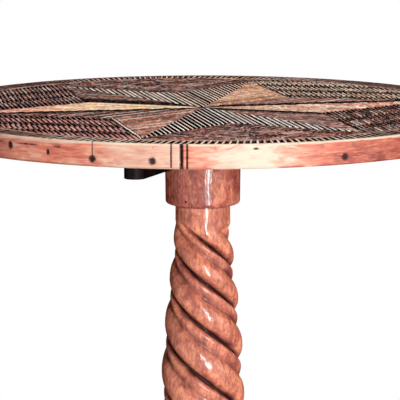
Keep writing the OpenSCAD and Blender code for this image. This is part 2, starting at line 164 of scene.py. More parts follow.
class Group(Nodes):
    """A node group with its named inputs and outputs."""

    def __init__(self, name, inputs, outputs, kind="ShaderNodeTree"):
        super().__init__(bpy.data.node_groups.new(name, kind))
        for side, sockets in (("INPUT", inputs), ("OUTPUT", outputs)):
            for socket, sort in sockets.items():
                self.tree.interface.new_socket(socket, in_out=side, socket_type="NodeSocket" + sort)
        self.inlet = self.add("NodeGroupInput").outputs
        self.outlet = self.add("NodeGroupOutput").inputs

    def size(self, name):
        return Measure(self, self.inlet[name])

    def sizes(self, *names):
        return [self.size(name) for name in names]

    def in_units_of(self, name):
        """The place that the group is given, counted in one of its sizes."""
        inputs = {0: self.inlet["Place"], "Scale": 1 / self.size(name)}
        return self.add("ShaderNodeVectorMath", inputs, operation="SCALE").outputs["Vector"]

    def close(self, *results):
        for result, socket in zip(results, self.outlet):
            self.connect(result, socket)
        return self


def wood_grain():
    """Long streaks, growth rings and pores of wood whose grain runs along Z of the place."""
    grain = Group(
        "wood grain",
        {"Place": "Vector", "Pale": "Color", "Dark": "Color", "Streak": "Float", "Figure": "Float"},
        {"Color": "Color", "Height": "Float", "Pores": "Float"})
    thin = grain.in_units_of("Streak")
    fibres = grain.cloudy(grain.stretched(thin, (1, 1, 0.05)), 1, 5, 0.5)
    rings = grain.number("ShaderNodeTexWave", "Fac",
                         {"Vector": grain.stretched(thin, (0.22, 0.3, 0.012)), "Scale": 1, "Distortion": 5,
                          "Detail": 3, "Detail Scale": 1.4}, wave_type="RINGS", rings_direction="Z")
    figure = grain.size("Figure")
    depth = (fibres.rise(0.3, 0.72) * (1 - figure) + rings * figure).between(0, 1)
    pores = grain.cloudy(grain.stretched(thin, (3.2, 3.2, 0.22)), 1, 2).rise(0.6, 0.74)
    pale, dark = grain.inlet["Pale"], grain.inlet["Dark"]
    colour = grain.blended(pores * 0.5, grain.blended(depth, pale, dark), dark, "MULTIPLY")
    return grain.close(colour, depth * 0.5 - pores * 0.6, pores)


def patina():
    """What age and hands leave on a surface: broad darker blotches, small specks and fine scratches."""
    marks = Group("patina", {"Place": "Vector", "Size": "Float"},
                  {"Blotch": "Float", "Specks": "Float", "Scratches": "Float"})
    near = marks.in_units_of("Size")
    blotch = marks.cloudy(near, 1, 5, 0.8).rise(0.4, 0.68)
    spots = marks.number("ShaderNodeTexVoronoi", "Distance",
                         {"Vector": marks.stretched(near, (2.6, 2.6, 2.6)), "Scale": 1})
    few = marks.cloudy(marks.stretched(near, (0.9, 0.9, 0.9), shift=(4, 7, 1)), 1).rise(0.48, 0.6)
    lines = marks.cloudy(marks.stretched(near, (0.6, 9, 4), (0.4, 0.9, 0.3)), 1, 2).rise(0.66, 0.72)
    return marks.close(blotch, (1 - spots.rise(0.04, 0.1)) * few, lines)


GRAIN = wood_grain()
PATINA = patina()


class Finish(Nodes):
    """A material in the making: its shader, its place on the object, and a colour laid on coat by coat."""

    def __init__(self, name, mark_size=None, edge_gloss=None, **plain):
        self.material = bpy.data.materials.new(name)
        self.material.use_nodes = True
        super().__init__(self.material.node_tree)
        self.shader = self.tree.nodes["Principled BSDF"]
        for key, value in plain.items():
            self.shader.inputs[key].default_value = value
        self.place = self.add("ShaderNodeTexCoord").outputs["Object"]
        if mark_size:
            inputs = {"Place": self.place, "Size": mark_size}
            marks = self.add("ShaderNodeGroup", inputs, node_tree=PATINA.tree).outputs
            self.blotch, self.specks, self.scratches = (Measure(self, mark) for mark in marks)
        if edge_gloss:
            # Old wax reflects where it is seen squarely and is dull where it is seen along the surface
            facing = self.number("ShaderNodeLayerWeight", "Facing", {"Blend": 0.5})
            self.connect((1 - facing.rise(0.08, 0.45)) * edge_gloss, self.shader.inputs["Specular IOR Level"])

    def grain(self, place, pale, dark, streak, figure):
        """Starts the colour with wood grain, and gives its relief and its pores."""
        inputs = {0: place, 1: paint(pale), 2: paint(dark), 3: streak, 4: figure}
        self.colour, height, pores = self.add("ShaderNodeGroup", inputs, node_tree=GRAIN.tree).outputs
        return Measure(self, height), Measure(self, pores)

    def kept(self, name):
        """A number that the mesh keeps at its points."""
        return self.number("ShaderNodeAttribute", "Fac", attribute_name=name)

    def coat(self, share, colour):
        self.colour = self.blended(share, self.colour, colour)

    def dapple(self, cloud, high, low):
        """Coats where a cloud is high and where it is low: start and end of the change, share, colour."""
        start, end, share, colour = high
        self.coat(cloud.rise(start, end) * share, colour)
        start, end, share, colour = low
        self.coat((1 - cloud.rise(start, end)) * share, colour)

    def done(self, roughness, height, distance):
        """The material, with its colour, its gloss and a relief in metres."""
        bump = self.add("ShaderNodeBump", {"Height": height, "Distance": distance, "Strength": 1})
        results = {"Base Color": self.colour, "Roughness": roughness, "Normal": bump.outputs["Normal"]}
        for name, result in results.items():
            self.connect(result, self.shader.inputs[name])
        return self.material


def dress(names, material):
    """Gives CAD nodes their finish."""
    for name in names:
        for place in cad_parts[name].material_slots:
            place.material = material


def board_wood():
    wood = Finish("board_wood", 0.11, IOR=1.45)
    along = wood.stretched(wood.place, turn=(0, radians(90), BOARD_LINE))
    height, pores = wood.grain(along, (196, 150, 104), (128, 84, 52), 0.006, 0.55)
    wood.coat(wood.blotch * 0.55, (96, 62, 42))
    wood.coat(wood.specks * 0.8, (48, 32, 24))
    # Painted shade: near-black above this level, seen only in the lines between the sticks
    pitch = wood.parts(wood.place)[2].rise(GAP_SHADE_LEVEL, GAP_SHADE_LEVEL + GAP_SHADE_FADE)
    wood.coat(pitch, (16, 11, 10))
    return wood.done(0.62 - pores * 0.1 - wood.scratches * 0.1 + pitch * 0.2, height, 0.0004)


dress(["board_1", "board_2", "board_3", "board_4"], board_wood())


# The edge band: one long strip of pale wood, bent round the boards and nailed to them.
# Its ends meet in an open joint near the front, beside old saw marks, and its edges are worn round.
OUTER_R = 0.300
BAND_T = 0.005
BAND_H = 0.024
TABLE_H = 0.720
JOINT_ANGLE = radians(266.1)
JOINT_GAP = 0.0008
NAIL_ANGLE = radians(260.8)
NAIL_COUNT = 10
EXTRA_NAIL_ANGLE = radians(249.5)
NAIL_DROP = 0.0165
FRONT = radians(270)
# Saw marks: degrees from the front, width and depth in metres, share of the band's height from the top
SAW_MARKS = [(-5.8, 0.0006, 0.0012, 0.95), (-2.9, 0.0007, 0.0016, 1.0), (-20.5, 0.0004, 0.0010, 0.80),
             (131, 0.0007, 0.0012, 0.9), (72, 0.0006, 0.0010, 0.8)]
# Old nail holes and a scratch: degrees from the front, distance from the top, half length, half height
OLD_HOLES = [(-29.6, 0.0128, 0.0016, 0.0026), (-38.3, 0.0095, 0.0026, 0.0036), (9.5, 0.0045, 0.0026, 0.0008)]
CRACK_FROM = radians(-58)
CRACK_TO = radians(-27)
CRACK_DROP = 0.0066
CRACK_W = 0.0006
# Marks: how deep and wide the wood is pressed in, and how dark, how wide and how sharply edged its dirt
# is. Those of an old hole are wide in shares of its size.
NAIL_MARK = 0.0008, 0.0038, 0.98, 0.0036, 4
HOLE_MARK = 0.0005, 1, 0.95, 1.1, 4
JOINT_MARK = 0.0009, 0.0009, 1, 0.00108, 2
# Sections of the strip, and the distance between those that are added round each nail
BAND_STEPS = 900
NAIL_STEP = 0.0009
# How deep the worn edges draw back and how far down and up the face they reach, then how far inside the
# true circle the face was planed and how uneven it is
EDGE_WEAR = 0.0013
TOP_EDGE = 0.0018
LOW_EDGE = 0.0016
PLANED = 0.0001
UNEVEN = 0.00012

# Lengths along the strip from the joint between which each stretch begins, and between which it ends:
# painted highlight, deeper varnish with painted shade, cracked, painted shade, and turned away at the
# back, then the painted highlight of the last end
GLARE_PATCH = (0.0, 0.06), (0.085, 0.115)
DEEPER_AND_SHADED = (0.10, 0.17), (0.45, 0.6)
CRACKED = (1.58, 1.62), (1.76, 1.80)
SHADED = (1.58, 1.62), (1.66, 1.73)
BACK = (0.42, 0.60), (1.40, 1.55)
GLARE_END = (1.77, 1.85)

nail_angles = [NAIL_ANGLE + k * tau / NAIL_COUNT for k in range(NAIL_COUNT)] + [EXTRA_NAIL_ANGLE]


def from_front(degrees):
    return FRONT + radians(degrees)


def turn_between(a, b):
    """The shorter way from one angle to another."""
    return (a - b + pi) % tau - pi


def new_object(name, mesh, material=None):
    piece = bpy.data.objects.new(name, mesh)
    bpy.context.scene.collection.objects.link(piece)
    if material:
        mesh.materials.append(material)
    return piece


def place_piece(piece, node):
    """Parents a finished piece to the one rigid body, and hides the CAD node that it stands for."""
    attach(piece, "root")
    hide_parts(node)


def closed_loft(sections, loop=False):
    """A mesh over equal closed sections: a closed loop of them, or a bar with both ends shut."""
    shape = bmesh.new()
    rings = [[shape.verts.new(p) for p in section] for section in sections]
    count = len(rings[0])
    for a, b in zip(rings, rings[1:] + rings[:1] if loop else rings[1:]):
        for k in range(count):
            shape.faces.new((a[k], a[(k + 1) % count], b[(k + 1) % count], b[k]))
    if not loop:
        shape.faces.new(rings[0])
        shape.faces.new(reversed(rings[-1]))
    bmesh.ops.recalc_face_normals(shape, faces=shape.faces)
    return shape


def written(shape, name, smooth=True):
    mesh = bpy.data.meshes.new(name)
    for face in shape.faces:
        face.smooth = smooth
    shape.to_mesh(mesh)
    shape.free()
    return mesh


def band_marks(angle, drop):
    """How far a place on the strip is from every mark, and what the mark is like."""
    for nail in nail_angles:
        away = hypot(turn_between(angle, nail) * OUTER_R, drop - NAIL_DROP)
        yield away, *NAIL_MARK
    for degrees, hole_drop, half_length, half_height in OLD_HOLES:
        aside = turn_between(angle, from_front(degrees)) * OUTER_R / half_length
        yield hypot(aside, (drop - hole_drop) / half_height), *HOLE_MARK
    for degrees, width, cut, share in SAW_MARKS:
        if drop < share * BAND_H:
            yield abs(turn_between(angle, from_front(degrees))) * OUTER_R, cut, width, 1, width * 1.2, 2
    yield abs(turn_between(angle, JOINT_ANGLE)) * OUTER_R - JOINT_GAP / 2, *JOINT_MARK
    bearing = turn_between(angle, FRONT)
    if CRACK_FROM < bearing < CRACK_TO:
        away = abs(drop - CRACK_DROP - CRACK_W * noise.noise(Vector((bearing * 12, 2.5, 0))))
        gape = min(1.0, max(0.0, 0.6 + 1.6 * noise.noise(Vector((bearing * 40, 5.5, 0)))))
        yield away, CRACK_W * gape, CRACK_W, 0.9 * gape, 0.0007, 2


def band_wear(angle, drop):
    """How far the strip's face is pressed in, and how soiled it is, at a place on it."""
    depth, soil = 0.0, 0.0
    for away, pressed, width, dirt, dirt_width, sharpness in band_marks(angle, drop):
        depth += pressed * exp(-(away / width) ** 2)
        soil = max(soil, dirt * exp(-(away / dirt_width) ** sharpness))
    return depth, soil


def band_columns():
    """Angles of the strip's cross-sections from one end to the other, closer at every mark."""
    start = JOINT_ANGLE + JOINT_GAP / 2 / OUTER_R
    stop = JOINT_ANGLE + tau - JOINT_GAP / 2 / OUTER_R
    columns = [start + (stop - start) * k / BAND_STEPS for k in range(BAND_STEPS + 1)]
    marks = [(from_front(mark[0]), mark[1], (-2, -1.3, -0.7, 0, 0.7, 1.3, 2)) for mark in SAW_MARKS]
    marks += [(from_front(hole[0]), hole[2] / 3, range(-5, 6)) for hole in OLD_HOLES]
    marks += [(nail, NAIL_STEP, range(-6, 7)) for nail in nail_angles]
    for bearing, pace, steps in marks:
        middle = start + (bearing - start) % tau
        columns += [middle + pace * step / OUTER_R for step in steps]
    kept = sorted(a for a in columns if start <= a <= stop)
    return [a for k, a in enumerate(kept) if k == 0 or a - kept[k - 1] > 2e-5]


def band_mesh():
    """The strip, with stations down its face that are closer at the worn edges, and with a map of the
    lengths along it and across it for its grain."""
    drops = [0.0, 0.0006, 0.0014] + [0.0026 + 0.0195 * k / 18 for k in range(19)] + [0.0230, 0.0236, BAND_H]
    sections, soils = [], []
    for angle in band_columns():
        wave = noise.noise(Vector((cos(angle) * 3, sin(angle) * 3, 0.3)))
        tremble = noise.noise(Vector((cos(angle) * 22, sin(angle) * 22, 4.1)))
        top_wear = 0.0002 + 0.0002 * abs(wave) + 0.0002 * abs(tremble)
        section = []
        for drop in drops:
            ease = max(0.0, 1 - drop / TOP_EDGE, 1 - (BAND_H - drop) / LOW_EDGE)
            depth, soil = band_wear(angle, drop)
            radius = OUTER_R - PLANED - EDGE_WEAR * ease ** 2 - depth - UNEVEN * abs(wave + tremble)
            section.append((radius, TABLE_H - top_wear - drop * (BAND_H - top_wear) / BAND_H))
            soils.append(soil)
        section += [(OUTER_R - BAND_T, TABLE_H - BAND_H), (OUTER_R - BAND_T, TABLE_H - top_wear)]
        soils += [0.6, 0.25]
        sections.append([(radius * cos(angle), radius * sin(angle), z) for radius, z in section])
    shape = closed_loft(sections)
    round_map = shape.loops.layers.uv.new("round")
    for face in shape.faces:
        for corner in face.loops:
            along = (atan2(corner.vert.co.y, corner.vert.co.x) - JOINT_ANGLE) % tau
            corner[round_map].uv = (along * OUTER_R, corner.vert.co.z + corner.vert.co.xy.length)
    mesh = written(shape, "band_strip")
    mesh.attributes.new("soil", "FLOAT", "POINT").data.foreach_set("value", soils)
    return mesh


def band_wood():
    """Pale wood under an orange varnish, with painted highlights along the upper edge at the front, right of
    the joint and at the last end, and painted shade, partly also deeper varnish, towards both sides of the
    front.
    """
    wood = Finish("band_wood", 0.05, 0.36, IOR=1.47)
    around = wood.add("ShaderNodeUVMap", uv_map="round").outputs["UV"]
    along = wood.stretched(around, turn=(0, radians(-90), 0))
    height, pores = wood.grain(along, (234, 152, 126), (198, 112, 92), 0.0045, 0.3)
    mottle = wood.cloudy(wood.stretched(wood.place, (1, 1, 2.5), shift=(0.31, 0.2, 0.1)), 0.02, 6, 0.4)
    wood.dapple(mottle, (0.5, 0.72, 0.75, (236, 190, 164)), (0.3, 0.5, 0.7, (176, 84, 70)))
    from_joint = wood.parts(around)[0]
    ragged = from_joint + (mottle - 0.5) * 0.14
    # Painted highlight: pale right of the joint and at the last end of the strip
    glare_patch = ragged.within(*GLARE_PATCH).at_least(ragged.rise(*GLARE_END) * 0.55)
    level = wood.parts(wood.place)[2] + (mottle - 0.5) * 0.004
    underside = 1 - level.rise(TABLE_H - BAND_H + 0.0012, TABLE_H - BAND_H + 0.003)
    wood.coat(underside * mottle.rise(0.35, 0.6) * 0.6, (86, 38, 34))
    cracked = from_joint.within(*CRACKED)
    front_side = 1 - from_joint.within(*BACK)
    # Painted highlight along the upper edge at the front, wider but weaker beside the crack
    rim_glare = (level + cracked * 0.0016).rise(TABLE_H - 0.0028, TABLE_H - 0.0012)
    rim_glare = rim_glare * front_side * (1 - cracked * 0.3)
    # Darker along the upper edge at the back
    dark_back_rim = level.rise(TABLE_H - 0.002, TABLE_H - 0.0008) * (1 - front_side)
    # Darker on the right of the front: deeper varnish and painted shade
    wood.coat(ragged.within(*DEEPER_AND_SHADED) * (0.55 + mottle.rise(0.42, 0.62) * 0.4), (122, 52, 46))
    wood.coat(from_joint.within(*SHADED) * (0.4 + mottle.rise(0.4, 0.6) * 0.5), (146, 56, 66))
    wood.coat(wood.blotch * (1 - glare_patch) * 0.3, (176, 88, 74))
    # The pale colour of both painted highlights
    wood.coat((glare_patch * 0.95).at_least(rim_glare * 0.9), (206, 188, 168))
    streaks = wood.cloudy(wood.stretched(around, (0.12, 1, 1), shift=(0.2, 0.4, 0)), 0.0016)
    wood.coat(streaks.rise(0.52, 0.68) * 0.5 * (1 - glare_patch * 0.6), (168, 70, 62))
    wood.coat((1 - streaks.rise(0.34, 0.46)) * 0.25, (250, 192, 146))
    wood.coat(wood.specks * 0.75, (110, 52, 44))
    wood.coat(dark_back_rim * 0.85, (44, 26, 24))
    soil = wood.kept("soil")
    grime = wood.cloudy(wood.stretched(wood.place, (1, 1, 3)), 0.004, 4) * soil * 2.8
    wood.coat(grime.between(0, 1), (44, 14, 16))
    return wood.done(0.5 + pores * 0.15 + wood.scratches * 0.12 + soil * 0.3,
                     height - wood.scratches * 0.4 + mottle * 0.5, 0.00022)


band_strip = new_object("band_strip", band_mesh(), band_wood())
place_piece(band_strip, "edge_band")


# The nails of the band: hand-made iron nails, driven flush in a shallow dish of the wood.
# Ten stand at even steps round the table and one more holds the strip near its joint.
NAIL_HEAD_R = 0.0029
NAIL_SHANK_R = 0.0011
NAIL_L = 0.023
NAILS = {"Nails": NAIL_COUNT + 1, "Seed": 3, "First angle": NAIL_ANGLE, "Extra angle": EXTRA_NAIL_ANGLE,
         "Radius": OUTER_R - 0.0006, "Height": TABLE_H - NAIL_DROP}


class Tree(Group):
    """A Geometry Nodes tree, which works on the mesh of the object that holds it. Its inputs are named
    sizes, and those that are whole numbers count something."""

    def __init__(self, name, sizes):
        kinds = {key: "Int" if isinstance(size, int) else "Float" for key, size in sizes.items()}
        inputs = {"Geometry": "Geometry", **kinds, "Material": "Material"}
        super().__init__(name, inputs, {"Geometry": "Geometry"}, "GeometryNodeTree")
        self.tree.is_modifier = True
        self.usual = sizes

    def stored(self, geometry, name, value, kind="FLOAT"):
        inputs = {"Geometry": geometry, "Name": name, "Value": value}
        return self.add("GeometryNodeStoreNamedAttribute", inputs, data_type=kind, domain="POINT").outputs[0]

    def chance(self, low, high, number, seed):
        """A number drawn once for each stick or nail."""
        return self.number("FunctionNodeRandomValue", 1, {2: low, 3: high, "ID": number, "Seed": seed},
                           data_type="FLOAT")

    def vector(self, x, y, z):
        return self.add("ShaderNodeCombineXYZ", {0: x, 1: y, 2: z}).outputs[0]

    def points(self, count):
        return self.add("GeometryNodePoints", {"Count": count}).outputs[0]

    def copies(self, points, turn=(0, 0, 0)):
        """The mesh of the object, repeated at points."""
        inputs = {"Points": points, "Instance": self.inlet["Geometry"], "Rotation": turn}
        return self.add("GeometryNodeInstanceOnPoints", inputs).outputs[0]

    def mesh_parts(self):
        """X, Y and Z of each corner of the mesh."""
        return self.parts(self.add("GeometryNodeInputPosition").outputs[0])

    def realized(self, geometry):
        return self.add("GeometryNodeRealizeInstances", {0: geometry}).outputs[0]

    def moved(self, geometry, place):
        return self.add("GeometryNodeSetPosition", {"Geometry": geometry, "Position": place}).outputs[0]

    def close(self, geometry):
        """Ends the tree with real copies and their material."""
        inputs = {"Geometry": self.realized(geometry), "Material": self.inlet["Material"]}
        return super().close(self.add("GeometryNodeSetMaterial", inputs).outputs[0])

    def make(self, name, mesh, material, sizes=()):
        """Runs the tree on a mesh, in its usual sizes or in those given, and keeps the result as a plain
        mesh of a new object."""
        piece = new_object(name, mesh)
        modifier = piece.modifiers.new("rule", "NODES")
        modifier.node_group = self.tree
        values = {**self.usual, **dict(sizes), "Material": material}
        for item in self.tree.interface.items_tree:
            if item.in_out == "INPUT" and item.name in values:
                modifier[item.identifier] = values[item.name]
        graph = bpy.context.evaluated_depsgraph_get()
        result = bpy.data.meshes.new_from_object(
            piece.evaluated_get(graph), preserve_all_data_layers=True, depsgraph=graph)
        piece.modifiers.remove(modifier)
        result.name = name
        piece.data = result
        return piece


def nail_mesh():
    """One nail that points along -X from its head: a hammered dome with a faceted rim, and a shank."""
    outline = [(0.0, 0.0), (0.0006, -0.00002), (0.0014, -0.00012), (0.0022, -0.0003), (NAIL_HEAD_R, -0.0006),
               (NAIL_HEAD_R, -0.0011), (NAIL_SHANK_R, -0.0013), (NAIL_SHANK_R, -NAIL_L * 0.9), (0.0, -NAIL_L)]
    shape = bmesh.new()
    verts = [shape.verts.new((x, radius, 0)) for radius, x in outline]
    edges = [shape.edges.new(pair) for pair in zip(verts, verts[1:])]
    bmesh.ops.spin(shape, geom=verts + edges, cent=(0, 0, 0), axis=(1, 0, 0), angle=tau, steps=12,
                   use_merge=True)
    bmesh.ops.remove_doubles(shape, verts=shape.verts, dist=1e-6)
    bmesh.ops.recalc_face_normals(shape, faces=shape.faces)
    return written(shape, "nail")


def nail_tree():
    tree = Tree("nails round the band", NAILS)
    nails, seed, first, extra, radius, height = tree.sizes(*NAILS)
    even = nails - 1
    number = tree.number("GeometryNodeInputIndex")
    last = number.above(even - 0.5)
    angle = (first + number * tau / even) * (1 - last) + extra * last
    tilt = tree.chance(-0.06, 0.06, number, seed)
    sunk = radius - tree.chance(0, 0.0003, number, seed + 1)
    place = tree.vector(sunk * angle.cos(), sunk * angle.sin(), height)
    turn = tree.vector(tree.chance(0, 1, number, 5), tilt, angle)
    return tree.close(tree.copies(tree.moved(tree.points(nails), place), turn))


def iron():
    metal = Finish("old_iron", 0.006, Metallic=0.9)
    metal.colour = metal.blended(metal.blotch, (36, 30, 30), (62, 36, 28))
    metal.coat(metal.specks, (20, 16, 16))
    return metal.done(0.2 + metal.blotch * 0.3 - metal.scratches * 0.08,
                      metal.blotch * 0.4 - metal.specks, 0.0001)


OLD_IRON = iron()
band_nail_heads = nail_tree().make("band_nail_heads", nail_mesh(), OLD_IRON)
place_piece(band_nail_heads, "band_nails")


# The star of the top: six points laid in split sticks, half of each point in pale sticks and half
# in sticks that keep their dark bark. The sticks lie side by side, cut off along the point's edges.
STICK_T = 0.003
MOSAIC_Z = TABLE_H - STICK_T
STICK_PITCH = 0.0054
STICK_GAP = 0.0005
STAR_SHIFT = 0.010
STAR_R = 0.252
INNER_R = 0.132
STAR_TURN = 12
HAND_TURNS = [1, 5, -3, 0, 4, -4]
POINTS = 6
STICK_END = 1 - 4 * STICK_GAP / INNER_R
# Sizes that all sticks share, and those of the star. Counts, seeds and angles differ from piece to piece.
STICKS = {"Sticks": 1, "Seed": 1, "Gap": STICK_GAP, "Thickness": STICK_T, "Level": MOSAIC_Z}
STAR = {"Tip angle": 0.0, "Corner angle": 0.0, "Star radius": STAR_R, "Inner radius": INNER_R,
        "Shift": STAR_SHIFT}
# Distances from the middle of the top between which the outer colour of a half takes over
OUTER_FROM, OUTER_TO = 0.06, 0.22
# Black of bark, also used as painted shade on the flanks of the sticks
BARK_AND_SHADE = (12, 7, 7)
# The pale and the dark hue that fleck a stick
FLECKS = (255, 184, 168), (34, 38, 32)
# How each half of a point looks: the colour of its crests, near-white ones being a painted highlight, the
# share of black on them, partly bark and partly painted shade, how much its sticks differ, how strongly and
# in which hues it is flecked, and where a pale half lies beside it, black sticks or ends along the line
# between
LIGHT_LOOKS = [
    {"crest": (242, 190, 160), "outer": (206, 128, 110), "cover": 0.1, "variety": 0.5,
     "mottled": 0.4, "flecks": ((255, 246, 226), (120, 64, 64))},
    {"crest": (218, 154, 122), "cover": 0.3, "variety": 0.5,
     "mottled": 0.5, "flecks": ((246, 196, 124), (112, 100, 108))},
    {"crest": (255, 244, 230), "cover": 0.42, "variety": 0.18, "mottled": 0.06},
    {"crest": (255, 218, 172), "outer": (248, 166, 154), "cover": 0.06, "variety": 0.45,
     "mottled": 0.35, "flecks": ((255, 244, 196), (184, 98, 92))},
    {"crest": (184, 126, 108), "cover": 0.32, "variety": 0.55, "edging": 0.0017},
    {"crest": (255, 244, 234), "cover": 0.48, "variety": 0.18, "mottled": 0.06}]
DARK_LOOKS = [
    {"crest": (190, 144, 130), "cover": 0.46, "variety": 0.6, "black_end": 0.032},
    {"crest": (250, 228, 210), "cover": 0.58, "variety": 0.25, "mottled": 0.1},
    {"crest": (116, 84, 84), "cover": 0.55, "variety": 0.6, "black_sticks": 5},
    {"crest": (122, 92, 90), "cover": 0.55, "variety": 0.6, "black_end": 0.04},
    {"crest": (255, 244, 234), "cover": 0.68, "variety": 0.18, "mottled": 0.06},
    {"crest": (164, 118, 110), "cover": 0.48, "variety": 0.6, "black_sticks": 3.4}]


def tip_angle(index):
    """Direction of a point of the star, in radians from +X."""
    return radians(STAR_TURN + HAND_TURNS[index % POINTS] + index * 360 / POINTS)


def corner_angle(index):
    return (tip_angle(index) + tip_angle(index + 1)) / 2


def stick_mesh():
    """One split stick in a unit box: X across it, Y along it, Z from its flat back to its crest."""
    side = [(0.0, 0.0), (0.0, 0.3), (0.08, 0.62), (0.22, 0.86), (0.4, 0.985)]
    arch = side + [(0.6, 0.985), (0.78, 0.86), (0.92, 0.62), (1.0, 0.3), (1.0, 0.0)]
    stations = [(0.0, 0.8), (0.05, 1.0), (0.5, 1.0), (0.95, 1.0), (1.0, 0.8)]
    return written(closed_loft([[(x, y, z * full) for x, z in arch] for y, full in stations]), "stick")


def lay_sticks(name, sizes, rule):
    """A tree that lays sticks. The rule turns a stick's number and a place on it into a place on the top,
    its length from there to each end, its row and whether it is too short to keep."""
    tree = Tree(name, {**STICKS, **sizes})
    count, seed, _, thickness, level = tree.sizes(*STICKS)
    points = tree.stored(tree.points(count), "stick", tree.number("GeometryNodeInputIndex"))
    sticks = tree.realized(tree.copies(points))
    number = tree.number("GeometryNodeInputNamedAttribute", "Attribute", {"Name": "stick"}, data_type="FLOAT")
    across, along, crest = tree.mesh_parts()
    x, y, length, ahead, row, short = rule(tree, number, across, along)
    low = tree.chance(0, 0.2, number, seed)
    lean = tree.chance(-0.16, 0.16, number, seed + 1)
    height = crest * (1 - low + lean * (across - 0.5)).between(0, 1)
    kept = {"crest": 1 - (across * 2 - 1).positive(), "tone": tree.chance(0, 1, number, seed + 2),
            "row": row, "ahead": ahead}
    for key, value in kept.items():
        sticks = tree.stored(sticks, key, value)
    fibre = tree.vector(number * 0.031 + across * STICK_PITCH, number * 0.017, length)
    sticks = tree.stored(sticks, "fibre", fibre, "FLOAT_VECTOR")
    sticks = tree.moved(sticks, tree.vector(x, y, level + height * thickness))
    if short:
        sticks = tree.add("GeometryNodeDeleteGeometry", {"Geometry": sticks, "Selection": short}).outputs[0]
    return tree.close(sticks)


def star_rule(tree, number, across, along):
    """The sticks of half a point are parallel to its inner edge and shrink to nothing at the tip."""
    tip, corner, star, inner, shift = tree.sizes(*STAR)
    sticks, seed, gap = tree.sizes("Sticks", "Seed", "Gap")
    share = STICK_GAP / STICK_PITCH / 2
    wander = tree.chance(-0.06, 0.06, number, seed + 3) * (along - 0.5)
    out = (number + share + across * (1 - 2 * share) + wander).between(0, 999) / sticks * STICK_END
    rest = 1 - out
    trim = gap / 2 / (inner * rest)
    over = (trim + along * (1 - 2 * trim)) * rest * inner
    ahead = (1 - along) * rest * inner
    reach = out * star
    x = reach * tip.cos() + over * corner.cos()
    y = reach * tip.sin() + over * corner.sin() - shift
    return x, y, over, ahead, number, None


def stick_finish(name, crest, cover, variety=0.4, black_sticks=0, black_end=0.0, edging=0.0, row_cover=0.0,
                 outer=None, mottled=0.3, flecks=FLECKS, darker_sides=0.0):
    """Varnished stick: wood worn pale along its crest, also a painted highlight, and black over a share of
    each flank, partly the stick's own dark skin and partly painted shade between the sticks.
    Some of the first sticks, or the near ends of all, may be black, and an edging may mark their far ends.
    The wood may change to an outer colour away from the middle of the top, and is flecked in two hues.
    The sticks may be darker towards the left and right of the top."""
    wood = Finish(name, 0.035, 0.3, IOR=1.45)
    fibre = wood.add("ShaderNodeAttribute", attribute_name="fibre").outputs["Vector"]
    tone, row = wood.kept("tone"), wood.kept("row")
    if outer:
        out = wood.length(wood.place)
        share = (out * out - TABLE_H ** 2).rise(OUTER_FROM ** 2, OUTER_TO ** 2)
        crest = wood.blended(share, crest, outer)
    height, pores = wood.grain(fibre, crest, wood.blended(0.4, crest, BARK_AND_SHADE), 0.0016, 0)
    wood.dapple(tone, (0.5, 1, variety, BARK_AND_SHADE), (0, 0.35, variety, (255, 240, 226)))
    wood.dapple((tone * 17).work("FRACT"), (0.7, 0.85, 0.35, (214, 122, 74)), (0.1, 0.2, 0.3, (122, 112, 96)))
    wander = wood.cloudy(fibre, 0.004, 4) - 0.5
    bits = wood.cloudy(wood.stretched(fibre, (1, 1, 0.5), shift=(0.1, 0.3, 0.2)), 0.003)
    wood.dapple(bits, (0.55, 0.7, variety, (84, 58, 52)), (0.32, 0.45, variety, (255, 236, 222)))
    # Pale along the crest and black down the flanks: partly worn wood and bark, partly a painted highlight on
    # the crest and painted shade in the gaps
    crest_light = wood.kept("crest") + wander * 0.5 + row * row_cover
    bark_and_shade = 1 - crest_light.rise(cover - 0.05, cover + 0.05)
    if black_sticks:
        bark_and_shade = bark_and_shade.at_least(1 - row.rise(black_sticks - 0.8, black_sticks - 0.3))
    if black_end:
        so_far = wood.parts(fibre)[2]
        bark_and_shade = bark_and_shade.at_least(1 - (so_far + wander * black_end).rise(black_end * 0.7, black_end))
    if edging:
        ahead = wood.kept("ahead")
        pale_line = ahead.within((edging * 0.9, edging), (edging * 1.9, edging * 2))
        bark_and_shade = bark_and_shade.at_least(1 - ahead.rise(edging * 2.9, edging * 3)) * (1 - pale_line)
        wood.coat(pale_line, (255, 240, 224))
    wood.coat(bark_and_shade, BARK_AND_SHADE)
    hues = wood.cloudy(wood.stretched(wood.place, (1, 0.45, 1), shift=(0.4, 0.2, 0)), 0.0042, 2)
    wood.coat(hues.rise(0.54, 0.6) * mottled * (1 - bark_and_shade * 0.8), flecks[0])
    wood.coat((1 - hues.rise(0.4, 0.46)) * mottled, flecks[1])
    if darker_sides:
        # Darker towards the left and right of the top
        aside = wood.parts(wood.place)[0].positive()
        wood.coat((aside + wander * 0.04).rise(0.11, 0.19) * darker_sides, (48, 26, 26))
    wood.coat(wood.blotch * 0.3, (60, 36, 30))
    wood.coat(wood.specks * 0.8, (20, 12, 11))
    return wood.done(0.5 + wood.blotch * 0.12 + pores * 0.15, height + wood.scratches * 0.2, 0.00025)


star_tree = lay_sticks("star sticks", STAR, star_rule)
for half, looks, shift in (("light", LIGHT_LOOKS, -1), ("dark", DARK_LOOKS, 0)):
    for k, look in enumerate(looks):
        tip, corner = tip_angle(k), corner_angle(k + shift)
        sticks = star_tree.make(
            f"star_{half}_sticks_{k + 1}", stick_mesh(), stick_finish(f"star_{half}_finish_{k + 1}", **look),
            {"Sticks": floor(STAR_R * abs(sin(corner - tip)) / STICK_PITCH), "Seed": 20 + 7 * k,
             "Tip angle": tip, "Corner angle": corner})
        place_piece(sticks, f"star_{half}_{k + 1}")


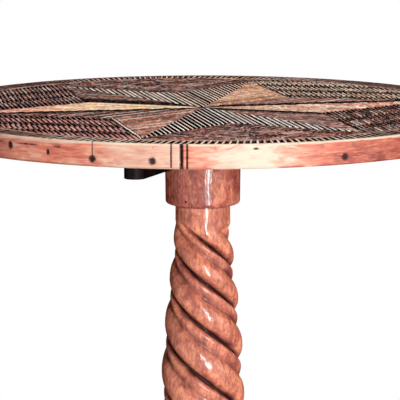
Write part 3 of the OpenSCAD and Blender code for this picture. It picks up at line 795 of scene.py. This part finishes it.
# The ground between the points: rows of short dark sticks. A row lies parallel to one edge of the star
# and its sticks to the other edge. At the front and back the rows of both edges meet in a chevron.
ROW_W = 0.024
ROW_SIDES = [[-1], [-1, 1], [1], [-1], [-1, 1], [1]]
BORDER_L = 0.023
RING_W = 0.003
BORDER_OUT_R = OUTER_R - BAND_T - STICK_GAP
BORDER_IN_R = BORDER_OUT_R - BORDER_L
RING_OUT_R = BORDER_IN_R - STICK_GAP
RING_IN_R = RING_OUT_R - RING_W
FIELD_R = RING_IN_R - STICK_GAP
GROUND_PITCH = 0.005
SHORTEST = 0.0035
GROUND = {"Rows": 1, "Per row": 1, "Corner angle": 0.0, "Half angle": 0.0, "Edge slope": 0.0, "Side": 1.0,
          "Chevron": 1.0, "Inner radius": INNER_R, "Row width": ROW_W, "Pitch": GROUND_PITCH,
          "Field radius": FIELD_R, "Shift": STAR_SHIFT}
# Colour of the crests of each ground, the pale ones partly a painted highlight, the share of black on them,
# partly bark and partly painted shade, and how much its sticks differ
GROUND_LOOKS = [
    ((255, 228, 206), 0.78, 0.2), ((104, 74, 74), 0.58, 0.4), ((150, 118, 120), 0.72, 0.55),
    ((222, 154, 150), 0.78, 0.25), ((112, 74, 76), 0.55, 0.45), ((116, 84, 84), 0.7, 0.6)]


def ground_rule(tree, number, across, along):
    """The rows of one ground. A stick crosses its row and is cut off by the radii through the tips, by
    the ring and, in a chevron, by the line through the corner. Lengths run along the two edges."""
    (row_count, per_row, corner, half, slope, side, chevron, inner, width, pitch, field,
     shift) = tree.sizes(*GROUND)
    seed, gap = tree.sizes("Seed", "Gap")
    in_family = row_count * per_row
    family = (number / in_family).floored()
    rest = number - family * in_family
    row = (rest / per_row).floored()
    stick = rest - row * per_row
    side = side * (1 - family * 2)
    run_angle = corner + side * slope
    stick_angle = corner - side * slope
    stick_x, stick_y = stick_angle.cos(), stick_angle.sin()
    skew = (slope * 2).sin()
    last_row = row.above(row_count - 1.5)
    near = (row * width + gap / 2) / skew
    length = (width * (1 + last_row) - gap) / skew
    pitch = pitch / skew
    start = near * chevron - tree.chance(0, 1, row + family * row_count, seed + 4) * pitch
    share = STICK_GAP / GROUND_PITCH / 2
    to_radius = inner * half.sin() - gap / 2
    steep, flat = (half + slope).sin(), (slope - half).sin()

    def cut(across):
        """Where a line along the stick starts on the row, and the part of it that is kept."""
        run = (start + (stick + share + across * (1 - 2 * share)) * pitch).at_least(gap / skew)
        x = inner * corner.cos() + run * run_angle.cos() + near * stick_x
        y = inner * corner.sin() + run * run_angle.sin() + near * stick_y - shift
        at_near_tip = (run * flat - to_radius - near * steep) / (length * steep)
        at_far_tip = (to_radius + run * steep - near * flat) / (length * flat)
        at_corner = (run - near - gap) / length
        middle = x * stick_x + y * stick_y
        reach = (middle * middle - (x * x + y * y - field * field)).at_least(0).work("SQRT")
        first = at_near_tip.at_least(0).at_least((-1 * middle - reach) / length)
        stop = at_corner * chevron + at_far_tip * (1 - chevron)
        last = stop.at_most(1).at_most((-1 * middle + reach) / length)
        return x, y, first, last

    x, y, first, last = cut(across)
    _, _, middle_first, middle_last = cut(across * 0 + 0.5)
    too_short = ((middle_last - middle_first) * length).below(SHORTEST)
    too_thin = (start + (stick + 0.5) * pitch).below(gap / skew)
    kept = (last - first).at_least(0) * length
    go = first * length + kept * along
    parity = row - (row / 2).floored() * 2
    return x + go * stick_x, y + go * stick_y, go, kept * (1 - along), parity, too_short.at_least(too_thin)


ground_tree = lay_sticks("ground sticks", GROUND, ground_rule)
for k, sides in enumerate(ROW_SIDES):
    half = (tip_angle(k + 1) - tip_angle(k)) / 2
    slope = atan2(STAR_R * sin(half), STAR_R * cos(half) - INNER_R)
    chevron = len(sides) > 1
    turn = 0 if chevron else -half
    bearing = corner_angle(k) + sides[0] * turn
    reach = STAR_SHIFT * sin(bearing) + sqrt(FIELD_R ** 2 - (STAR_SHIFT * cos(bearing)) ** 2)
    row_count = round((reach * sin(slope - turn) - INNER_R * sin(slope)) / ROW_W)
    longest_row = (FIELD_R + STAR_SHIFT) / sin(2 * slope) - INNER_R / 2 / cos(slope)
    per_row = ceil(longest_row * sin(2 * slope) / GROUND_PITCH) + 2
    sticks = ground_tree.make(
        f"ground_sticks_{k + 1}", stick_mesh(),
        stick_finish(f"ground_finish_{k + 1}", *GROUND_LOOKS[k], row_cover=0.35),
        {"Sticks": len(sides) * row_count * per_row, "Rows": row_count, "Per row": per_row,
         "Seed": 80 + 7 * k, "Corner angle": corner_angle(k), "Half angle": half, "Edge slope": slope,
         "Side": float(sides[0]), "Chevron": float(chevron)})
    place_piece(sticks, f"ground_{k + 1}")


# The border: short slanted sticks between the field and the band, and a thin bent ring inside them.
BORDER_PITCH = 0.0065
BORDER = {"Sticks": floor(pi * (BORDER_OUT_R + BORDER_IN_R) / BORDER_PITCH), "Seed": 140,
          "Inner radius": BORDER_IN_R, "Outer radius": BORDER_OUT_R, "Pitch": BORDER_PITCH,
          "Slant": radians(0.8)}
RING_SIDES = 360


def border_rule(tree, number, across, along):
    """The sticks stand on radii, each turned a little and wandering at its outer end."""
    sticks, seed, inner, outer, pitch, slant = tree.sizes(*BORDER)
    step = tau / sticks
    open_share = tree.size("Gap") / pitch
    wander = tree.chance(-0.1, 0.1, number, seed + 3)
    angle = (number + across * (1 - open_share) + wander * along) * step + (1 - along) * slant
    radius = inner + along * (outer - inner)
    return radius * angle.cos(), radius * angle.sin(), along * BORDER_L, (1 - along) * BORDER_L, number, None


border_sticks = lay_sticks("border sticks", BORDER, border_rule).make(
    "border_short_sticks", stick_mesh(),
    stick_finish("border_finish", (255, 236, 220), 0.68, variety=0.3, mottled=0.2, darker_sides=0.7))
place_piece(border_sticks, "border_sticks")


def ring_mesh():
    middle = (RING_IN_R + RING_OUT_R) / 2
    arch = [(-0.5, 0.0), (-0.5, 0.7), (-0.3, 0.92), (0.0, 1.0), (0.3, 0.92), (0.5, 0.7), (0.5, 0.0)]
    sections = []
    for k in range(RING_SIDES):
        x, y = cos(k * tau / RING_SIDES), sin(k * tau / RING_SIDES)
        worn = 1 - 0.12 * abs(noise.noise(Vector((x * 9, y * 9, 7))))
        sections.append([((middle + RING_W * a) * x, (middle + RING_W * a) * y, MOSAIC_Z + STICK_T * z * worn)
                         for a, z in arch])
    return written(closed_loft(sections, loop=True), "border_line")


def ring_wood():
    wood = Finish("ring_wood", 0.02, 0.2, IOR=1.47)
    grain = wood.cloudy(wood.place, 0.0015, 4)
    wood.colour = wood.blended(grain, (206, 156, 134), (120, 78, 64))
    wood.coat(wood.blotch * 0.7, (60, 36, 32))
    wood.coat(wood.specks, (30, 18, 15))
    return wood.done(0.35 + wood.blotch * 0.2, grain - wood.scratches * 0.3, 0.0002)


border_line = new_object("border_line", ring_mesh(), ring_wood())
place_piece(border_line, "border_ring")


# The bearer under the top: a round-ended hardwood beam, stained almost black, with four iron screws.
BEARER_LINE = radians(66.7)


def bearer_wood():
    wood = Finish("bearer_wood", 0.05, 0.1, IOR=1.45)
    along = wood.stretched(wood.place, turn=(0, radians(90), BEARER_LINE))
    height, pores = wood.grain(along, (22, 13, 14), (10, 6, 8), 0.004, 0.3)
    wood.coat(wood.blotch * 0.3, (36, 22, 20))
    wood.coat(wood.scratches * 0.2, (76, 48, 40))
    return wood.done(0.46 + pores * 0.2 + wood.blotch * 0.1, height, 0.0004)


dress(["bearer"], bearer_wood())
dress(["bearer_screws", "plate_screws", "tenon_nail", "base_plate"], OLD_IRON)


# The cap: turned from one piece of red-brown wood, with two cheeks that clasp the bearer, and locked
# to it by two pale pegs. A nail through its lower edge locks the tenon of the column.
def polished_wood(name, pale, dark, deep, streak=0.004, figure=0.35, groove=None):
    """Wood under old red-brown varnish, darker in blotches and, on the column, down in its grooves, partly
    dirt and partly painted shade, with a painted shadow under the cap.
    """
    wood = Finish(name, 0.035, 0.5, IOR=1.47)
    height, pores = wood.grain(wood.place, pale, dark, streak, figure)
    patches = wood.cloudy(wood.stretched(wood.place, (1, 1, 0.6), shift=(0.2, 0.5, 0.3)), 0.02, 5, 1.2)
    stains = wood.cloudy(wood.stretched(wood.place, (1, 1, 0.7), shift=(0.7, 0.1, 0.6)), 0.007, 4, 0.8)
    fine = wood.cloudy(wood.stretched(wood.place, (1, 1, 0.5), shift=(0.3, 0.9, 0.2)), 0.0022)
    wood.dapple(patches, (0.5, 0.66, 0.5, deep), (0.3, 0.5, 0.5, (250, 166, 124)))
    wood.dapple(stains, (0.5, 0.7, 0.4, deep), (0.3, 0.5, 0.3, (250, 176, 140)))
    wood.dapple(fine, (0.5, 0.7, 0.42, deep), (0.3, 0.48, 0.25, (255, 190, 160)))
    wood.coat(wood.blotch * 0.4, (126, 66, 60))
    wood.coat(wood.specks * 0.9, (52, 22, 20))
    if groove:
        # Darker down in the grooves, partly dirt and partly painted shade, and a painted shadow under the cap
        low = wood.kept(groove) + (patches - 0.5) * 0.5
        wood.coat(low.rise(0.12, 0.5) * 0.4, (120, 52, 58))
        wood.coat(low.rise(0.3, 0.8) * 0.95, (40, 14, 18))
    return wood.done(0.12 + patches * 0.1 + wood.scratches * 0.12 + pores * 0.08,
                     height * 0.6 - wood.specks * 0.5 - wood.scratches * 0.2 + patches * 1.5, 0.0003)


dress(["cap"], polished_wood("cap_wood", (206, 108, 88), (138, 60, 54), (88, 32, 38), 0.003))


def peg_wood():
    wood = Finish("peg_wood", 0.01, IOR=1.47, **{"Specular IOR Level": 0.25})
    along = wood.stretched(wood.place, turn=(radians(90), 0, -BEARER_LINE))
    height, pores = wood.grain(along, (214, 156, 116), (150, 96, 68), 0.002, 0.5)
    wood.coat(wood.blotch * 0.5, (120, 70, 50))
    return wood.done(0.45 + pores * 0.2 + wood.scratches * 0.1, height, 0.0003)


dress(["cap_pegs", "column_wedge"], peg_wood())


# The column: turned to a long swelling and carved by hand into three strands, each with a bead above
# it, which wind down to the right at one steady slope and run out before the plain neck at each end.
CAP_Z = 0.6150
BLOCK_TOP_Z = 0.1894
COLUMN = {
    "Top": CAP_Z, "Length": CAP_Z - BLOCK_TOP_Z, "Neck length": 0.015, "Neck radius": 0.0294,
    "Belly radius": 0.0452, "Fullness": 0.66, "Climb": radians(31.5), "Groove depth": 0.012,
    "Bead groove": 0.006, "Bead drop": 0.003, "Run-out": 0.021, "Strand turn": radians(46),
    "Strand share": 0.66, "Strand round": 2.6, "Bead round": 2.2, "Bead lean": 1.6, "Hand": 0.0006,
    "Strands": 3, "Rings": 450, "Sides": 200}


def column_tree():
    """Turns a plain cylinder, two across and one high, into the carved shaft."""
    tree = Tree("carved column", COLUMN)
    x, y, up = tree.mesh_parts()
    (top, length, neck_length, neck, belly, full, climb, deep, shallow, bead_drop, run_out, strand_turn,
     part, strand_round, bead_round, bead_lean, hand, strands, rings, sides) = tree.sizes(*COLUMN)
    carved = length - 2 * neck_length

    def swell(share):
        wave = (share * pi).sin()
        return neck + (belly - neck) * (wave * full + wave * wave * (1 - full))

    drop = (1 - up) * length
    free_share = (drop - neck_length) / carved
    share = free_share.between(0, 1)
    ring_step = length / rings
    before = (free_share - ring_step / carved / 2).between(0, 1)
    on_carving = free_share.within((-0.0001, 0), (1, 1.0001))
    angle = y.work("ARCTAN2", x)
    line = (angle / tau * sides).work("ROUND")
    step = ring_step / climb.work("TANGENT") / swell(before) * on_carving
    turned = tree.number("GeometryNodeAccumulateField", "Leading", {"Value": step, "Group ID": line},
                         data_type="FLOAT", domain="POINT")
    turn = (angle - turned - strand_turn - FRONT) * strands / tau
    phase = turn - turn.floored()
    on_bead = phase.above(part)
    across_strand = phase / part * 2 - 1
    across_bead = ((phase - part) / (1 - part)).between(0, 1).power(bead_lean) * 2 - 1
    beside_strand = shallow + (deep - shallow) * across_strand.below(0)
    beside_bead = shallow + (deep - shallow) * across_bead.above(0)
    in_strand = across_strand.positive().between(0, 1).power(strand_round)
    in_bead = across_bead.positive().between(0, 1).power(bead_round)
    bead = bead_drop + (beside_bead - bead_drop) * in_bead
    cut = in_strand * beside_strand * (1 - on_bead) + bead * on_bead
    fade = (share * carved / run_out).rise(0, 1) * ((1 - share) * carved / run_out).rise(0, 1)
    knife = tree.number("ShaderNodeTexNoise", "Fac",
                        {"Vector": tree.vector(x * 4, y * 4, up * 34), "Scale": 1, "Detail": 2}) - 0.5
    radius = swell(share) - fade * cut + knife * hand * fade
    # A painted shadow under the cap, kept with the share of the groove depth
    cap_shadow = 1 - (drop / neck_length * 4).between(0, 1)
    shaft = tree.stored(tree.inlet["Geometry"], "groove", (cut / deep * fade).at_least(cap_shadow))
    place = tree.vector(radius * angle.cos(), radius * angle.sin(), top - drop)
    return tree.close(tree.moved(shaft, place))


def column_blank():
    """A cylinder of radius 1 from Z 1 down to Z 0, whose rings are numbered from the top."""
    rings, sides = COLUMN["Rings"], COLUMN["Sides"]
    circle = [(cos(k * tau / sides), sin(k * tau / sides)) for k in range(sides)]
    sections = [[(x, y, 1 - ring / rings) for x, y in circle] for ring in range(rings + 1)]
    return written(closed_loft(sections), "column_blank")


COLUMN_WOOD = polished_wood(
    "column_wood", (240, 150, 118), (188, 100, 80), (128, 58, 56), 0.0035, 0.25, groove="groove")
column = column_tree().make("column_carved", column_blank(), COLUMN_WOOD)
place_piece(column, "column")


# The base: a turned block round the foot of the column, and three sawn legs with rounded edges, which
# slide up into it on dovetails. An iron plate below ties them together.
BASE_Z = 0.076
LEG_T = 0.030
LEG_ROUNDING = 0.006
BLOCK_R = 0.052
LEG_REACH = 0.284
LEG_JOINT_H = 0.092
ANKLE_H = 0.034
FOOT_L = 0.046
ARM_REACH = BLOCK_R + 0.026
LEG_FIRST_ANGLE = 30
LEGS = 3


def bezier(a, b, c, d, steps=22):
    a, b, c, d = (Vector(p) for p in (a, b, c, d))
    for k in range(steps + 1):
        t = k / steps
        yield a * (1 - t) ** 3 + 3 * b * t * (1 - t) ** 2 + 3 * c * t * t * (1 - t) + d * t ** 3


def leg_outline():
    """The leg from its side: over the knee to the toe, under the foot and back to the block."""
    top = BASE_Z + LEG_JOINT_H
    span = LEG_REACH - BLOCK_R
    heel = LEG_REACH - FOOT_L
    over = bezier((BLOCK_R, top), (BLOCK_R + span * 0.36, top + ANKLE_H * 0.5),
                  (BLOCK_R + span * 0.44, ANKLE_H * 1.2), (heel + FOOT_L * 0.3, ANKLE_H * 0.9))
    toe = bezier((heel + FOOT_L * 0.45, ANKLE_H * 0.88), (LEG_REACH - 0.006, ANKLE_H * 0.8),
                 (LEG_REACH, ANKLE_H * 0.5), (LEG_REACH - 0.004, 0), 10)
    under = bezier((heel, 0), (heel - FOOT_L, ANKLE_H * 0.1), (ARM_REACH + span * 0.27, BASE_Z * 0.98),
                   (ARM_REACH + 0.001, BASE_Z))
    return [*over, *toe, *under, Vector((BLOCK_R, BASE_Z))]


def leg_mesh(angle):
    """The outline given thickness, its long edges rounded and its inner end hollowed to the block."""
    outline = leg_outline()
    shape = closed_loft([[(p.x, side * LEG_T / 2, p.y) for p in outline] for side in (-1, 1)])
    sides = [edge for edge in shape.edges
             if abs(edge.verts[0].co.y - edge.verts[1].co.y) < 1e-6
             and min(v.co.x for v in edge.verts) > BLOCK_R + 1e-5]
    bmesh.ops.bevel(shape, geom=sides, offset=LEG_ROUNDING, segments=4, profile=0.5, affect="EDGES",
                    clamp_overlap=True)
    for vert in shape.verts:
        if vert.co.x < BLOCK_R + 0.004:
            vert.co.x = max(sqrt(BLOCK_R ** 2 - vert.co.y ** 2), vert.co.x - BLOCK_R * 0.04)
    bmesh.ops.triangulate(shape, faces=[face for face in shape.faces if len(face.verts) > 4])
    bmesh.ops.recalc_face_normals(shape, faces=shape.faces)
    outward = Vector((cos(angle), sin(angle), 0))
    bmesh.ops.rotate(shape, verts=shape.verts, cent=(0, 0, 0),
                     matrix=Vector((1, 0, 0)).rotation_difference(outward).to_matrix())
    return written(shape, "leg_shaped")


BASE_WOOD = polished_wood("base_wood", (206, 126, 104), (160, 88, 72), (128, 68, 58))
dress(["base_block"], BASE_WOOD)
for k in range(LEGS):
    shape = leg_mesh(radians(LEG_FIRST_ANGLE + k * 360 / LEGS))
    leg = new_object(f"leg_shaped_{k + 1}", shape, BASE_WOOD)
    place_piece(leg, f"leg_{k + 1}")


# The studio: a pale floor that fades to white, white surroundings, a tall narrow lamp in front of the
# table to the right, weaker ones above it and at its right side, and the camera of the reference view.
FLOOR_R = 1.6
# White where a ray meets the surroundings directly, and the little of it that lights the table
DIRECT, INDIRECT = 0.96, 0.04
CAMERA_TILT = 9.35


def seen_directly(nodes):
    """1 for the rays that should meet plain white: those of the camera, of gloss and through glass."""
    rays = nodes.add("ShaderNodeLightPath").outputs
    seen = Measure(nodes, rays["Is Camera Ray"]) + rays["Is Glossy Ray"] + rays["Is Transmission Ray"]
    return seen.between(0, 1)


def floor_mesh():
    shape = bmesh.new()
    bmesh.ops.create_circle(shape, cap_ends=True, radius=FLOOR_R, segments=96)
    return written(shape, "floor", smooth=False)


def floor_finish():
    white = Finish("floor_paint", Roughness=0.9)
    white.connect(paint((236, 234, 232)), white.shader.inputs["Base Color"])
    share = seen_directly(white) * white.length(white.place).rise(FLOOR_R * 0.35, FLOOR_R * 0.95)
    glow = white.add("ShaderNodeEmission", {"Color": (1, 1, 1, 1), "Strength": 1})
    mixed = white.add("ShaderNodeMixShader", {0: share, 1: white.shader.outputs[0], 2: glow.outputs[0]})
    white.connect(mixed.outputs[0], white.tree.nodes["Material Output"].inputs["Surface"])
    return white.material


studio_floor = new_object("floor", floor_mesh(), floor_finish())
studio_floor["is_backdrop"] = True


def surroundings():
    world = bpy.data.worlds.new("white_studio")
    world.use_nodes = True
    nodes = Nodes(world.node_tree)
    background = nodes.tree.nodes["Background"].inputs
    nodes.connect((1, 1, 1, 1), background["Color"])
    nodes.connect(seen_directly(nodes) * DIRECT + INDIRECT, background["Strength"])
    bpy.context.scene.world = world


def lamp(name, bearing, height, away, size, power, aim_height):
    """A rectangular soft lamp that faces the axis of the table, at a bearing in degrees from the front."""
    data = bpy.data.lights.new(name, "AREA")
    data.shape = "RECTANGLE"
    data.size, data.size_y = size
    data.energy = power
    holder = bpy.data.objects.new(name, data)
    bpy.context.scene.collection.objects.link(holder)
    angle = from_front(bearing)
    holder.location = (away * cos(angle), away * sin(angle), height)
    aim = Vector((0, 0, aim_height)) - holder.location
    holder.rotation_euler = aim.to_track_quat("-Z", "Y").to_euler()


surroundings()
# Bearing, height and distance, width and height of the lamp, its power, and the height that it faces
lamp("tall_lamp", 17, 0.75, 2.4, (0.12, 1.4), 60, 0.75)
lamp("side_lamp", 62, 1.0, 2.2, (0.7, 1.2), 9, 0.6)
lamp("top_lamp", 10, 2.4, 0.4, (1.0, 1.0), 30, 0.72)

camera_data = bpy.data.cameras.new("camera")
camera_data.lens = 204
camera = bpy.data.objects.new("camera", camera_data)
camera.location = (-0.003, -2.4, 1.013)
camera.rotation_euler = (radians(90 - CAMERA_TILT), 0, 0)
bpy.context.scene.collection.objects.link(camera)
bpy.context.scene.camera = camera
bpy.context.scene.view_settings.view_transform = "Standard"

boxes = {"cad": cad_box, "visual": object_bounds()}
{name: [list(corner) for corner in box] for name, box in boxes.items()}
